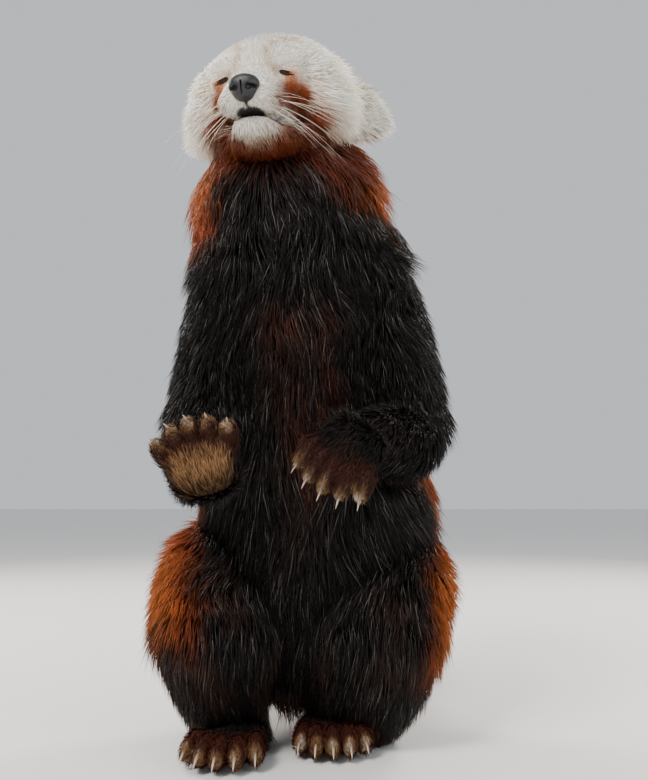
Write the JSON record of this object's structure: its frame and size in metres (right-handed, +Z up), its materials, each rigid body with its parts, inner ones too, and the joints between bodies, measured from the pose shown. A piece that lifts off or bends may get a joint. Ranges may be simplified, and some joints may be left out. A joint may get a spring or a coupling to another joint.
{
  "type": "red panda, standing",
  "caption": "Life-size still model of a red panda standing upright on its hind legs, eyes closed, forepaws held at the belly and ringed tail on the floor.",
  "frame": {"origin": "on the floor, under the middle of the box round the whole animal with its tail", "axes": "+Z up to the crown, the animal faces -Y, its own left side is +X"},
  "size_m": [0.2636, 0.6324, 0.6226],
  "materials": {
    "rust_fur": "matte",
    "black_fur": "matte",
    "cream_fur": "matte",
    "nose": "satin",
    "claw": "satin",
    "eyelid": "matte"
  },
  "bodies": {
    "root": {"belly": "rust_fur", "chest": "rust_fur", "ear_left": "cream_fur", "ear_right": "cream_fur", "eye_left": "eyelid", "eye_right": "eyelid", "forearm_left": "black_fur", "forearm_right": "black_fur", "forepaw_left": "black_fur", "forepaw_left_claw_1": "claw", "forepaw_left_claw_2": "claw", "forepaw_left_claw_3": "claw", "forepaw_left_claw_4": "claw", "forepaw_left_claw_5": "claw", "forepaw_right": "black_fur", "forepaw_right_claw_1": "claw", "forepaw_right_claw_2": "claw", "forepaw_right_claw_3": "claw", "forepaw_right_claw_4": "claw", "forepaw_right_claw_5": "claw", "head": "cream_fur", "hind_foot_left": "black_fur", "hind_foot_left_claw_1": "claw", "hind_foot_left_claw_2": "claw", "hind_foot_left_claw_3": "claw", "hind_foot_left_claw_4": "claw", "hind_foot_left_claw_5": "claw", "hind_foot_right": "black_fur", "hind_foot_right_claw_1": "claw", "hind_foot_right_claw_2": "claw", "hind_foot_right_claw_3": "claw", "hind_foot_right_claw_4": "claw", "hind_foot_right_claw_5": "claw", "lower_jaw": "cream_fur", "neck": "rust_fur", "nose": "nose", "shin_left": "black_fur", "shin_right": "black_fur", "tail_1": "rust_fur", "tail_2": "rust_fur", "tail_3": "rust_fur", "tail_4": "rust_fur", "thigh_left": "black_fur", "thigh_right": "black_fur", "upper_arm_left": "black_fur", "upper_arm_right": "black_fur"}
  },
  "joints": []
}
